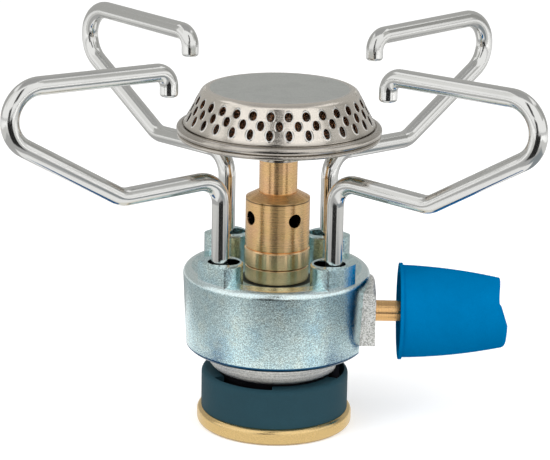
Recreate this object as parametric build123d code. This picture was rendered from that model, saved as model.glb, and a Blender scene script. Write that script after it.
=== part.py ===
from build123d import *
import os
from math import asin, copysign, cos, degrees, hypot, radians, sin

os.makedirs("parts", exist_ok=True)

# Portable gas stove that twists onto a gas cartridge.
# Millimetres. The origin is the centre of the cartridge socket's mouth, on the bottom face of the gold
# ring. +Z is up, +X points to the knob and -Y is the front.

# Clearances
RUN = 0.05  # radial gap of a shaft that turns in its hole
SNUG = 0.02  # radial gap of pieces that are screwed or pressed together
CLEAR = 0.3  # gap between pieces that move past each other
SEAT_GAP = 0.1  # gap under a shoulder that turns on its seat
OVER = 1.0  # how far a cutter runs past the face it cuts
NEAR = 0.01  # how close an edge or corner lies to the place it is looked for

# Gold ring with its bayonet lugs
RING_REACH = 1.2
RING_H = 4.8
RING_EDGE = 1.4
MOUTH_GAP = 1.1
MOUTH_H = 2.8
MOUTH_STEP = 0.6
LUG_DEPTH = 2.2
LUG_ANGLE = 40
LUG_COUNT = 3
SLEEVE_LIP_T = 1.5
SLEEVE_LIP_H = 2.9

# Teal lock collar
COLLAR_WALL = 4.2
COLLAR_H = 11.4
COLLAR_EDGE = 1.5
COLLAR_DISH = 0.15
COLLAR_GAP = 0.4
LOCK_TURN = 45
SLOT_COUNT = 3
SLOT_DEPTH = 4.6

# Black stop peg in one of the collar's slots
PEG_R = 1.5
PEG_INSET = 4.0
PEG_EDGE = 0.3

# Ring clip that keeps the collar on the spigot
CIRCLIP_T = 1.2
CIRCLIP_GROOVE = 0.7
CIRCLIP_REACH = 1.7
CIRCLIP_SPLIT_ANGLE = 24

# Bare cast housing: spigot, rounded bowl, flange, barrel, neck and side block
SPIGOT_R = 16.5
SPIGOT_SHOW = 7.0
BOWL_REACH = 2.9
BOWL_ROUND = 3.9
BOWL_GAP = 0.3
FLANGE_T = 2.6
FLANGE_INSET = 0.6
BARREL_R = 12.0
NECK_R = 6.0
NECK_BORE_R = 3.9
BLOCK_GAP = 1.0
BLOCK_SHOW = 1.5
BLOCK_FOOT = 2.8
BLOCK_SIDE_H = 15.6
BLOCK_CROWN = 1.7
BLOCK_EDGE = 1.6
INLET_WALL = 4.0
INLET_DEPTH = 8.8

# Cartridge inlet: seal, pin and filter
SEAL_R = 6.5
SEAL_T = 2.0
PIN_R = 2.0
PIN_HEAD_R = 3.3
PIN_HEAD_T = 1.5
PIN_REACH = 4.5
PIN_BORE_R = 0.8
FILTER_T = 1.8
GAS_BORE_R = 0.9
OUTLET_R = 1.4

# Cast support body
BODY_OVERHANG = 9.1
BODY_DRAFT = 1.1
BODY_H = 23.3
BODY_EDGE = 2.0
BODY_FOOT_EDGE = 0.7
BODY_WALL = 3.0
POCKET_RIM = 5.7
POCKET_DEPTH = 3.5
DECK_T = 3.5
BOSS_R = 6.4
BOSS_SET_BACK = 0.6
BOSS_H = 5.5
BOSS_EDGE = 0.4
COLUMN_WALL = 2.1
RECESS_L = 9.0
RECESS_W = 6.4
RECESS_DEPTH = 2.0
RECESS_SHIFT = 1.0

# Brass stack from the deck pocket up to the burner
NUT_R = 9.1
NUT_H = 4.5
HOLDER_R = 9.3
HOLDER_H = 5.0
HOLDER_NOSE_H = 2.6
STEM_H = 6.5
SLEEVE_R = 9.1
SLEEVE_WALL = 1.5
SLEEVE_H = 14.4
CONE_H = 1.75
CONE_LIP = 0.5
AIR_HOLE_R = 2.0
AIR_HOLE_BELOW_CONE = 5.1
AIR_HOLE_ANGLE = -57
AIR_HOLE_COUNT = 4
BRASS_EDGE = 0.35
TUBE_R = 5.4
TUBE_WALL = 0.9
TUBE_SOCKET_H = 1.4
TUBE_SHOW = 15.8
JET_R = 2.4
JET_SEAT_H = 3.5
JET_HEAD_AF = 6.0
JET_HEAD_H = 2.2
JET_ORIFICE_R = 0.2

# Burner head
LIP_INSET = 0.2
LIP_T = 1.2
LIP_EDGE = 0.5
PAN_T = 1.1
PAN_DROP = 4.0
PAN_HUB_T = 1.2
PAN_HUB_H = 2.2
PAN_LEDGE = 4.6
HEM_REACH = 2.6
HEM_T = 2.2
HEM_EDGE = 1.0
HEM_BEAD_W = 1.5
HEM_GROOVE = 0.7
CAP_TOP_R = 21.6
CAP_FOOT_R = 26.2
CAP_H = 10.35
CAP_FOOT_H = 1.6
CAP_FLARE = 0.7
CAP_FLARE_H = 1.2
CAP_WALL = 0.65
CAP_ROUND = 2.4
FLARE_ROUND = 1.6
HOLE_COUNT = 30
HOLE_ROW_PITCH = 2.6
HOLE_TOP_ROW = 3.4
HOLE_WIDTHS = (2.2, 2.0, 1.8)
HOLE_HEIGHTS = (2.7, 2.85, 3.0)
GAUZE_T = 0.3
GAUZE_GAP = 0.35
GAUZE_TOP_GAP = 0.9

# Bent rod pan supports
ROD_R = 2.5
LEG_FRONT_INSET = 11.0
LEG_BACK_INSET = 11.9
LEG_SIDE_INSET = 11.3
KNEE_BELOW_LIP = 8.45
ELBOW_REACH = 32.0
ELBOW_SAG = 0.95
POINT_REACH = 89.2
HOOK_REACH = 17.2
HOOK_SAG = 1.1
HOOK_DROP = 6.8
PAN_GAP = 13.1
KNEE_BEND = 7.0
ELBOW_BEND = 7.0
POINT_BEND = 8.6
HOOK_BEND = 4.0
ROD_END_ROUND = 0.9
LEG_DEPTH = 18.0
JOURNAL_R = 1.8
JOURNAL_H = 6.2
CLIP_R = 2.9
CLIP_T = 0.8
CLIP_GROOVE = 0.4
CLIP_SPLIT_ANGLE = 70
# Headings of the four arms as the photo shows them, in degrees from +X
FRONT_LEFT_ANGLE = 215.7
FRONT_RIGHT_ANGLE = 319.7
BACK_LEFT_ANGLE = 131.7
BACK_RIGHT_ANGLE = 44.0
FRONT_ANGLE = -90  # the front itself

# Needle valve spindle
SPINDLE_ABOVE_FOOT = 10.4
SPINDLE_R = 3.0
VALVE_TRAVEL = 1.6
NEEDLE_X = 4.0
NEEDLE_L = 3.0
NEEDLE_TIP_R = 0.4
NEEDLE_R = 1.8
STEM_L = 5.0
CHAMBER_R = 2.6
GLAND_L = 7.9
ORING_R = 0.95
ORING_GROOVE = 0.9
STOP_COLLAR_R = 4.0
STOP_COLLAR_T = 0.8
GLAND_R = 5.0
FLAT_DEPTH = 0.7
FLAT_L = 14.0

# Knob
KNOB_GAP = 6.9
KNOB_L = 30.5
KNOB_R = 13.3
KNOB_MID_R = 12.25
KNOB_END_R = 9.7
KNOB_LIP = 0.55
KNOB_LIP_W = 0.9
KNOB_EDGE = 1.5
KNOB_WALL = 1.8
KNOB_END_WALL = 4.0
SCOOP_R = 12.0
SCOOP_DEPTH = 2.5
SCOOP_RISE = 6.2
HUB_WALL = 2.4
HUB_RECESS = 8.0
RIB_T = 1.2
RIB_COUNT = 4

# Heights
RING_TOP = RING_H
LIP_TOP = RING_TOP + SLEEVE_LIP_H
CIRCLIP_Z = LIP_TOP + CLEAR
SHOULDER_Z = CIRCLIP_Z + CIRCLIP_T + CLEAR
COLLAR_TOP = RING_TOP + COLLAR_H
SPIGOT_FOOT = RING_TOP + CLEAR
BODY_FOOT = COLLAR_TOP + SPIGOT_SHOW
FLANGE_FOOT = BODY_FOOT + FLANGE_INSET
FLANGE_TOP = FLANGE_FOOT + FLANGE_T
BODY_TOP = BODY_FOOT + BODY_H
POCKET_FLOOR = BODY_TOP - POCKET_DEPTH
CEILING = POCKET_FLOOR - DECK_T
BOSS_TOP = BODY_TOP + BOSS_H
NUT_TOP = POCKET_FLOOR + NUT_H
HOLDER_TOP = NUT_TOP + HOLDER_H
SLEEVE_TOP = HOLDER_TOP + SLEEVE_H
CONE_TOP = SLEEVE_TOP + CONE_H
LIP_FOOT = CONE_TOP + TUBE_SHOW
HEM_FOOT = LIP_FOOT + LIP_T
HEM_TOP = HEM_FOOT + HEM_T
CAP_TOP = HEM_TOP + CAP_H
SOCKET_ROOF = SPIGOT_FOOT + INLET_DEPTH
PIN_HEAD_Z = SOCKET_ROOF + SEAL_T
FILTER_Z = PIN_HEAD_Z + PIN_HEAD_T
FILTER_TOP = FILTER_Z + FILTER_T
SPINDLE_Z = BODY_FOOT + SPINDLE_ABOVE_FOOT
LEG_STEP = BOSS_TOP - LEG_DEPTH
JOURNAL_END = LEG_STEP - JOURNAL_H
CLIP_Z = JOURNAL_END + CLIP_GROOVE
COLUMN_FOOT = CLIP_Z + CLIP_T + CLEAR

# Radii and places that follow from the sizes above
COLLAR_BORE_R = SPIGOT_R + COLLAR_GAP
COLLAR_R = COLLAR_BORE_R + COLLAR_WALL
RING_R = COLLAR_R + RING_REACH
MOUTH_R = SPIGOT_R + MOUTH_GAP
INLET_R = SPIGOT_R - INLET_WALL
BOWL_R = SPIGOT_R + BOWL_REACH
BODY_BASE_R = SPIGOT_R + BODY_OVERHANG
BODY_TOP_R = BODY_BASE_R + BODY_DRAFT
POCKET_R = BODY_TOP_R - POCKET_RIM
BOSS_OUTER_R = BODY_TOP_R - BOSS_SET_BACK
CAVITY_R = BODY_BASE_R - BODY_WALL
BLOCK_X = BODY_TOP_R + BLOCK_SHOW
FLANGE_R = CAVITY_R - CLEAR
COLUMN_R = ROD_R + COLUMN_WALL
LEG_FRONT_X = BODY_TOP_R - LEG_FRONT_INSET
LEG_BACK_X = BODY_TOP_R - LEG_BACK_INSET
LEG_Y = BODY_TOP_R - LEG_SIDE_INSET
BLOCK_W = 2 * (LEG_Y - COLUMN_R - CLEAR - BLOCK_GAP)
SOCKET_R = MOUTH_R - MOUTH_STEP
LIP_OUT_R = SOCKET_R + SLEEVE_LIP_T
CIRCLIP_R = SPIGOT_R + CIRCLIP_REACH
PEG_CIRCLE = SPIGOT_R + CLEAR + PEG_R
PEG_HALF_ANGLE = degrees(asin((PEG_R + CLEAR) / PEG_CIRCLE))
PEG_ANGLE = -LOCK_TURN / 2
TUBE_BORE_R = TUBE_R - TUBE_WALL
HEM_R = CAP_FOOT_R + HEM_REACH
LIP_R = HEM_R - LIP_INSET
SLEEVE_BORE_R = SLEEVE_R - SLEEVE_WALL
CHAMBER_END = NEEDLE_X + NEEDLE_L + STEM_L
THREAD_END = BLOCK_X - GLAND_L + CLEAR
ORING_W = 2 * ORING_R + 2 * RUN
ORING_MID = THREAD_END + ORING_W / 2
STOP_FACE = THREAD_END + ORING_W + STOP_COLLAR_T
GLAND_SHOULDER = STOP_FACE + VALVE_TRAVEL + RUN
KNOB_X = BLOCK_X + KNOB_GAP
KNOB_END = KNOB_X + KNOB_L
HUB_X = KNOB_X + HUB_RECESS
CAVITY_END = KNOB_END - KNOB_END_WALL
SPINDLE_END = CAVITY_END - CLEAR

# Each support's leg along X and Y, and the heading of its arm
SUPPORTS = {
    "front_left": (-LEG_FRONT_X, -LEG_Y, FRONT_LEFT_ANGLE),
    "front_right": (LEG_FRONT_X, -LEG_Y, FRONT_RIGHT_ANGLE),
    "back_left": (-LEG_BACK_X, LEG_Y, BACK_LEFT_ANGLE),
    "back_right": (LEG_BACK_X, LEG_Y, BACK_RIGHT_ANGLE),
}


def rod(radius, low, high):
    """Upright cylinder on the stove's axis between two heights."""
    return Pos(0, 0, low) * Cylinder(radius, high - low, align=(Align.CENTER, Align.CENTER, Align.MIN))


def shaft(radius, start, end):
    """Level cylinder on the spindle's axis between two places along X."""
    bar = Cylinder(radius, end - start, align=(Align.CENTER, Align.CENTER, Align.MIN))
    return Pos(start, 0, SPINDLE_Z) * Rot(0, 90, 0) * bar


def profile(*points):
    """Flat face in the XZ plane from its corner points."""
    return make_face(Plane.XZ * Polyline(*points, close=True))


def turned(*points):
    """Solid turned about the stove's axis from (radius, height) points."""
    return revolve(profile(*points), Axis.Z)


def sector(inner, outer, low, high, middle, arc):
    """Part of an upright ring, centred on one heading."""
    half = profile((inner, low), (outer, low), (outer, high), (inner, high))
    return Rot(0, 0, middle - arc / 2) * revolve(half, Axis.Z, arc)


def split_ring(inner, outer, low, thickness, split):
    """Flat ring clip with a gap at its back."""
    ring = rod(outer, low, low + thickness) - rod(inner, low, low + thickness)
    return ring - sector(0, outer + OVER, low, low + thickness, 90, split)


def edges_at(solid, axis, value):
    """Edges of a solid whose centre lies at one place along an axis."""
    return solid.edges().filter_by_position(axis, value - NEAR, value + NEAR)


def bayonet_ring():
    outline = Plane.XZ * Polyline(
        (MOUTH_R, 0),
        (RING_R, 0),
        (RING_R, RING_TOP),
        (LIP_OUT_R, RING_TOP),
        (LIP_OUT_R, LIP_TOP),
        (SOCKET_R, LIP_TOP),
        (SOCKET_R, MOUTH_H),
        (MOUTH_R, MOUTH_H),
        close=True,
    )
    face = make_face(outline)
    rim = face.vertices().filter_by_position(Axis.X, RING_R - NEAR, RING_R + NEAR)
    ring = revolve(fillet(rim, RING_EDGE), Axis.Z)
    for index in range(LUG_COUNT):
        middle = index * 360 / LUG_COUNT
        ring += sector(SOCKET_R - LUG_DEPTH, SOCKET_R + SLEEVE_LIP_T / 2, MOUTH_H, RING_TOP, middle, LUG_ANGLE)
    return ring


def lock_collar():
    crest_r = COLLAR_R - COLLAR_EDGE
    face = profile(
        (LIP_OUT_R + CLEAR, RING_TOP),
        (COLLAR_R, RING_TOP),
        (COLLAR_R, COLLAR_TOP),
        (crest_r, COLLAR_TOP),
        (COLLAR_BORE_R, COLLAR_TOP - COLLAR_DISH),
        (COLLAR_BORE_R, SHOULDER_Z),
        (LIP_OUT_R + CLEAR, SHOULDER_Z),
    )
    corner = face.vertices().sort_by(Axis.Z)[-2:].sort_by(Axis.X)[-1]
    collar = revolve(fillet(corner, COLLAR_EDGE - SNUG), Axis.Z)
    slot_arc = LOCK_TURN + 2 * PEG_HALF_ANGLE
    slot_r = PEG_CIRCLE + PEG_R + CLEAR
    for index in range(SLOT_COUNT):
        middle = index * 360 / SLOT_COUNT
        collar -= sector(SPIGOT_R, slot_r, COLLAR_TOP - SLOT_DEPTH, COLLAR_TOP + OVER, middle, slot_arc)
    return collar


def peg_place():
    heading = radians(PEG_ANGLE)
    return Pos(PEG_CIRCLE * cos(heading), PEG_CIRCLE * sin(heading), 0)


def stop_pin():
    foot = COLLAR_TOP - PEG_INSET
    peg = rod(PEG_R, foot, FLANGE_TOP)
    return peg_place() * chamfer(edges_at(peg, Axis.Z, foot), PEG_EDGE)


def collar_circlip():
    return split_ring(SPIGOT_R - CIRCLIP_GROOVE + RUN, CIRCLIP_R, CIRCLIP_Z, CIRCLIP_T, CIRCLIP_SPLIT_ANGLE)


def block_face(gap):
    """End outline of the housing's side block in the YZ plane, grown by a gap."""
    half = BLOCK_W / 2 + gap
    foot = BODY_FOOT + BLOCK_FOOT - gap
    side = BODY_FOOT + BLOCK_FOOT + BLOCK_SIDE_H + gap
    crown = side + BLOCK_CROWN
    sides = Polyline((-half, side), (-half, foot), (half, foot), (half, side))
    return make_face(sides + ThreePointArc((half, side), (0, crown), (-half, side)))


def block_start():
    """Where the full height of the side block begins, just outside the deck's pocket."""
    return POCKET_R + 2 * CLEAR


def side_block():
    start = block_start() + CLEAR
    block = extrude(Plane.YZ.offset(start) * block_face(0), BLOCK_X - start)
    top_edge = edges_at(block, Axis.X, BLOCK_X).sort_by(Axis.Z)[-1]
    block = fillet(top_edge, BLOCK_EDGE)
    arm_top = CEILING - CLEAR
    arm = Box(start, BLOCK_W, arm_top - FLANGE_TOP, align=(Align.MIN, Align.CENTER, Align.MIN))
    return block + Pos(0, 0, FLANGE_TOP) * arm


def inlet_passage():
    """Slanted drilling from the filter up to the valve chamber."""
    start = Vector(0, 0, FILTER_TOP - GAS_BORE_R)
    end = Vector(CHAMBER_END - STEM_L / 2, 0, SPINDLE_Z)
    plane = Plane(origin=start, z_dir=end - start)
    return extrude(plane * Circle(GAS_BORE_R), (end - start).length)


def bowl():
    """Turned shoulder between the spigot and the flange, rounded under its edge."""
    foot = COLLAR_TOP + BOWL_GAP
    face = profile((0, foot), (BOWL_R, foot), (BOWL_R, FLANGE_FOOT), (0, FLANGE_FOOT))
    corner = face.vertices().sort_by(Axis.Z)[:2].sort_by(Axis.X)[-1]
    return revolve(fillet(corner, BOWL_ROUND), Axis.Z)


def valve_housing():
    body = rod(SPIGOT_R, SPIGOT_FOOT, FLANGE_FOOT) + bowl()
    body += rod(FLANGE_R, FLANGE_FOOT, FLANGE_TOP)
    body += rod(BARREL_R, FLANGE_TOP, CEILING)
    body += rod(NECK_R, CEILING, NUT_TOP - CLEAR)
    body += side_block()
    body -= rod(INLET_R, SPIGOT_FOOT, SOCKET_ROOF)
    body -= rod(SEAL_R + SNUG, SOCKET_ROOF, PIN_HEAD_Z)
    body -= rod(PIN_HEAD_R + SNUG, PIN_HEAD_Z, FILTER_TOP)
    groove_r = SPIGOT_R - CIRCLIP_GROOVE
    groove_low = CIRCLIP_Z - RUN
    groove_high = CIRCLIP_Z + CIRCLIP_T + RUN
    body -= rod(SPIGOT_R + OVER, groove_low, groove_high) - rod(groove_r, groove_low, groove_high)
    body -= peg_place() * rod(PEG_R + SNUG, COLLAR_TOP, FLANGE_TOP)
    body -= shaft(GLAND_R, THREAD_END - CLEAR, BLOCK_X)
    body -= shaft(SPINDLE_R + RUN, CHAMBER_END, THREAD_END)
    body -= shaft(CHAMBER_R, NEEDLE_X, CHAMBER_END)
    body -= shaft(GAS_BORE_R, 0, NEEDLE_X)
    body -= rod(OUTLET_R, SPINDLE_Z - OUTLET_R, NUT_TOP)
    body -= rod(NECK_BORE_R, NUT_TOP - STEM_H, NUT_TOP)
    return body - inlet_passage()


def cartridge_seal():
    return rod(SEAL_R, SOCKET_ROOF, PIN_HEAD_Z) - rod(PIN_R + RUN, SOCKET_ROOF, PIN_HEAD_Z)


def pusher_pin():
    foot = SOCKET_ROOF - PIN_REACH
    pin = rod(PIN_R, foot, PIN_HEAD_Z) + rod(PIN_HEAD_R, PIN_HEAD_Z, FILTER_Z)
    return pin - rod(PIN_BORE_R, foot, FILTER_Z)


def inlet_filter():
    return rod(PIN_HEAD_R, FILTER_Z, FILTER_TOP - GAS_BORE_R)


def gland_bush():
    start = THREAD_END - CLEAR
    bush = shaft(GLAND_R - SNUG, start, BLOCK_X)
    bush -= shaft(SPINDLE_R + RUN, start, BLOCK_X)
    return bush - shaft(oring_circle() + ORING_R + RUN, start, GLAND_SHOULDER)


def oring_circle():
    return SPINDLE_R - ORING_GROOVE + RUN + ORING_R


def spindle_oring():
    return Pos(ORING_MID, 0, SPINDLE_Z) * Rot(0, 90, 0) * Torus(oring_circle(), ORING_R)


def spindle():
    tip = NEEDLE_X + RUN
    shoulder = NEEDLE_X + NEEDLE_L
    groove_end = THREAD_END + ORING_W
    outline = profile(
        (tip, 0),
        (tip, NEEDLE_TIP_R),
        (shoulder, NEEDLE_R),
        (CHAMBER_END, NEEDLE_R),
        (CHAMBER_END, SPINDLE_R),
        (THREAD_END, SPINDLE_R),
        (THREAD_END, SPINDLE_R - ORING_GROOVE),
        (groove_end, SPINDLE_R - ORING_GROOVE),
        (groove_end, STOP_COLLAR_R),
        (STOP_FACE, STOP_COLLAR_R),
        (STOP_FACE, SPINDLE_R),
        (SPINDLE_END, SPINDLE_R),
        (SPINDLE_END, 0),
    )
    bar = revolve(outline, Axis.X)
    flat = Pos(SPINDLE_END, 0, SPINDLE_R - FLAT_DEPTH) * Box(
        2 * FLAT_L, 3 * SPINDLE_R, SPINDLE_R, align=(Align.CENTER, Align.CENTER, Align.MIN)
    )
    return Pos(0, 0, SPINDLE_Z) * (bar - flat)


def knob_outline(inset, start, end):
    """Half outline of the knob's barrel, drawn in by an inset, from one place along X to another."""
    barrel = ThreePointArc(
        (KNOB_X, KNOB_R - inset),
        ((KNOB_X + KNOB_END) / 2, KNOB_MID_R - inset),
        (KNOB_END, KNOB_END_R - inset),
    )
    sides = Polyline((KNOB_END, KNOB_END_R - inset), (KNOB_END, 0), (KNOB_X, 0), (KNOB_X, KNOB_R - inset))
    barrel_solid = revolve(make_face(Plane.XZ * (barrel + sides)), Axis.X)
    keep = Pos(start, 0, 0) * Box(end - start, 4 * KNOB_R, 4 * KNOB_R, align=(Align.MIN, Align.CENTER, Align.CENTER))
    return barrel_solid & keep


def knob():
    shell = knob_outline(0, KNOB_X, KNOB_END)
    shell = fillet(edges_at(shell, Axis.X, KNOB_END), KNOB_EDGE)
    lip = Rot(0, 90, 0) * Cylinder(KNOB_R + KNOB_LIP, KNOB_LIP_W, align=(Align.CENTER, Align.CENTER, Align.MIN))
    shell += Pos(KNOB_X, 0, 0) * lip
    scoop = Rot(90, 0, 0) * Cylinder(SCOOP_R, 4 * KNOB_R)
    shell -= Pos(KNOB_END - SCOOP_DEPTH + SCOOP_R, 0, SCOOP_RISE) * scoop
    shell -= knob_outline(KNOB_WALL, KNOB_X, CAVITY_END)
    hub_r = SPINDLE_R + SNUG + HUB_WALL
    hub = Pos(HUB_X, 0, 0) * Rot(0, 90, 0) * Cylinder(
        hub_r, CAVITY_END - HUB_X + SNUG, align=(Align.CENTER, Align.CENTER, Align.MIN)
    )
    rib_x = HUB_X + HUB_WALL
    rib = Box(CAVITY_END - rib_x + SNUG, RIB_T, 2 * KNOB_R, align=(Align.MIN, Align.CENTER, Align.MIN))
    inner = knob_outline(KNOB_WALL / 2, KNOB_X, CAVITY_END + SNUG)
    for index in range(RIB_COUNT):
        hub += (Pos(rib_x, 0, 0) * Rot(index * 360 / RIB_COUNT + 45, 0, 0) * rib) & inner
    shell += hub
    bore_r = SPINDLE_R + SNUG
    bore = Pos(KNOB_X, 0, 0) * Rot(0, 90, 0) * Cylinder(
        bore_r, CAVITY_END - KNOB_X, align=(Align.CENTER, Align.CENTER, Align.MIN)
    )
    flat_x = SPINDLE_END - FLAT_L + CLEAR
    flat = Pos(flat_x, 0, SPINDLE_R - FLAT_DEPTH + SNUG) * Box(
        CAVITY_END - flat_x, 3 * SPINDLE_R, SPINDLE_R, align=(Align.MIN, Align.CENTER, Align.MIN)
    )
    return Pos(0, 0, SPINDLE_Z) * (shell - (bore - flat))


def leg_places():
    return [Pos(leg_x, leg_y, 0) for leg_x, leg_y, _ in SUPPORTS.values()]


def leg_boss():
    """Round lug about a leg, before the body's outer curve trims it."""
    return rod(BOSS_R, POCKET_FLOOR - DECK_T / 2, BOSS_TOP)


def leg_cuts():
    """Bore, step, clip pocket and top recess for one leg."""
    cuts = rod(ROD_R + RUN, LEG_STEP, BOSS_TOP)
    cuts += rod(JOURNAL_R + RUN, COLUMN_FOOT - CLEAR, LEG_STEP)
    return cuts + rod(CLIP_R + CLEAR, JOURNAL_END - CLEAR, COLUMN_FOOT)


def leg_recess(leg_x):
    """Long shallow recess in a boss, drawn towards the stove's axis."""
    slot = Plane.XY.offset(BOSS_TOP - RECESS_DEPTH) * SlotOverall(RECESS_L, RECESS_W)
    return Pos(-copysign(RECESS_SHIFT, leg_x), 0, 0) * extrude(slot, RECESS_DEPTH)


def support_body():
    drafted = Pos(0, 0, BODY_FOOT) * Cone(
        BODY_BASE_R, BODY_TOP_R, BODY_H, align=(Align.CENTER, Align.CENTER, Align.MIN)
    )
    drafted = fillet(edges_at(drafted, Axis.Z, BODY_TOP), BODY_EDGE)
    drafted = chamfer(edges_at(drafted, Axis.Z, BODY_FOOT), BODY_FOOT_EDGE)
    body = drafted - rod(POCKET_R, POCKET_FLOOR, BODY_TOP)
    body -= rod(CAVITY_R, BODY_FOOT, CEILING)
    trim = rod(BOSS_OUTER_R, BODY_FOOT, BOSS_TOP)
    for place in leg_places():
        boss = (place * leg_boss()) & trim
        boss = chamfer(edges_at(boss, Axis.Z, BOSS_TOP), BOSS_EDGE)
        column = (place * rod(COLUMN_R, COLUMN_FOOT, CEILING + DECK_T / 2)) & drafted
        body += [boss, column]
    for (leg_x, _, _), place in zip(SUPPORTS.values(), leg_places()):
        body -= [place * leg_cuts(), place * leg_recess(leg_x)]
    body -= rod(NECK_R + SNUG, CEILING, BODY_TOP)
    arm_slot = Box(
        BODY_TOP_R, BLOCK_W + 2 * CLEAR, CEILING - BODY_FOOT, align=(Align.MIN, Align.CENTER, Align.MIN)
    )
    body -= Pos(BARREL_R, 0, BODY_FOOT) * arm_slot
    window = extrude(Plane.YZ.offset(block_start()) * block_face(CLEAR), BODY_TOP_R)
    return body - window


def clamp_nut():
    nut = rod(NUT_R, POCKET_FLOOR, NUT_TOP)
    nut = chamfer(nut.edges(), BRASS_EDGE)
    return nut - rod(NECK_R + SNUG, POCKET_FLOOR, NUT_TOP)


def jet_holder():
    holder = rod(HOLDER_R, NUT_TOP, HOLDER_TOP)
    holder = chamfer(holder.edges(), BRASS_EDGE)
    nose_top = HOLDER_TOP + HOLDER_NOSE_H
    holder += rod(SLEEVE_BORE_R - SNUG, HOLDER_TOP, nose_top)
    holder += rod(NECK_BORE_R - SNUG, NUT_TOP - STEM_H + CLEAR, NUT_TOP)
    holder -= rod(GAS_BORE_R, NUT_TOP - STEM_H, nose_top)
    return holder - rod(JET_R + SNUG, nose_top - JET_SEAT_H, nose_top)


def gas_jet():
    nose_top = HOLDER_TOP + HOLDER_NOSE_H
    head = Plane.XY.offset(nose_top) * RegularPolygon(JET_HEAD_AF / 2, 6, major_radius=False)
    jet = rod(JET_R, nose_top - JET_SEAT_H, nose_top) + extrude(head, JET_HEAD_H)
    jet_top = nose_top + JET_HEAD_H
    jet -= rod(GAS_BORE_R, nose_top - JET_SEAT_H, jet_top - GAS_BORE_R)
    return jet - rod(JET_ORIFICE_R, nose_top, jet_top)


def mixer_sleeve():
    inner_cone = CONE_TOP - TUBE_SOCKET_H
    tube_hole = TUBE_R + SNUG
    sleeve = turned(
        (SLEEVE_BORE_R, HOLDER_TOP),
        (SLEEVE_R - BRASS_EDGE, HOLDER_TOP),
        (SLEEVE_R, HOLDER_TOP + BRASS_EDGE),
        (SLEEVE_R, SLEEVE_TOP),
        (tube_hole + CONE_LIP, CONE_TOP),
        (tube_hole, CONE_TOP),
        (tube_hole, inner_cone),
        (SLEEVE_BORE_R, inner_cone - (SLEEVE_BORE_R - tube_hole)),
    )
    hole_z = SLEEVE_TOP - AIR_HOLE_BELOW_CONE
    drill = Pos(0, 0, hole_z) * Rot(0, 90, 0) * Cylinder(
        AIR_HOLE_R, SLEEVE_R + OVER, align=(Align.CENTER, Align.CENTER, Align.MIN)
    )
    for index in range(AIR_HOLE_COUNT):
        sleeve -= Rot(0, 0, AIR_HOLE_ANGLE + index * 360 / AIR_HOLE_COUNT) * drill
    return sleeve


def burner_tube():
    foot = CONE_TOP - TUBE_SOCKET_H
    top = LIP_FOOT - PAN_DROP + PAN_T + CLEAR
    return rod(TUBE_R, foot, top) - rod(TUBE_BORE_R, foot, top)


def burner_pan():
    hub_in = TUBE_R + SNUG
    hub_out = hub_in + PAN_HUB_T
    dish_low = LIP_FOOT - PAN_DROP
    ledge_r = LIP_R - PAN_LEDGE
    face = profile(
        (hub_in, dish_low - PAN_HUB_H),
        (hub_out, dish_low - PAN_HUB_H),
        (hub_out, dish_low),
        (ledge_r, LIP_FOOT),
        (LIP_R, LIP_FOOT),
        (LIP_R, HEM_FOOT),
        (ledge_r, HEM_FOOT),
        (hub_out, dish_low + PAN_T),
        (hub_in, dish_low + PAN_T),
    )
    rim = face.vertices().filter_by_position(Axis.X, LIP_R - NEAR, LIP_R + NEAR)
    return revolve(fillet(rim, LIP_EDGE), Axis.Z)


def cap_cone():
    """How far the cap's sloping side runs outwards and down for each millimetre of slope."""
    run = CAP_FOOT_R - CAP_TOP_R
    fall = CAP_TOP - HEM_TOP - CAP_FOOT_H
    length = hypot(run, fall)
    return run / length, fall / length


def cap_shell():
    out, down = cap_cone()
    foot_z = HEM_TOP + CAP_FOOT_H
    flare_r = CAP_FOOT_R + CAP_FLARE
    flare_z = foot_z - CAP_FLARE_H
    groove_z = HEM_TOP - HEM_GROOVE
    face = profile(
        (0, groove_z),
        (flare_r, groove_z),
        (flare_r, flare_z),
        (CAP_FOOT_R, foot_z),
        (CAP_TOP_R, CAP_TOP),
        (0, CAP_TOP),
    )
    shoulder = face.vertices().filter_by_position(Axis.X, CAP_TOP_R - NEAR, CAP_TOP_R + NEAR)
    face = fillet(shoulder, CAP_ROUND)
    flare = face.vertices().filter_by_position(Axis.X, CAP_FOOT_R - NEAR, CAP_FOOT_R + NEAR)
    outer = revolve(fillet(flare, FLARE_ROUND), Axis.Z)
    inset = CAP_WALL / down
    hollow_face = profile(
        (0, HEM_FOOT),
        (CAP_FOOT_R - inset, HEM_FOOT),
        (CAP_FOOT_R - inset, foot_z),
        (CAP_TOP_R - inset + CAP_WALL * out / down, CAP_TOP - CAP_WALL),
        (0, CAP_TOP - CAP_WALL),
    )
    corner = hollow_face.vertices().sort_by(Axis.Z)[-2:].sort_by(Axis.X)[-1]
    hollow = revolve(fillet(corner, CAP_ROUND - CAP_WALL), Axis.Z)
    bead_in = HEM_R - HEM_BEAD_W
    hem_face = profile(
        (CAP_FOOT_R - inset, HEM_FOOT),
        (HEM_R, HEM_FOOT),
        (HEM_R, HEM_TOP),
        (bead_in, HEM_TOP),
        (bead_in, groove_z),
        (CAP_FOOT_R - inset, groove_z),
    )
    rim = hem_face.vertices().filter_by_position(Axis.X, HEM_R - NEAR, HEM_R + NEAR)
    hem = revolve(fillet(rim, HEM_EDGE), Axis.Z)
    return outer + hem - hollow


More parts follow.
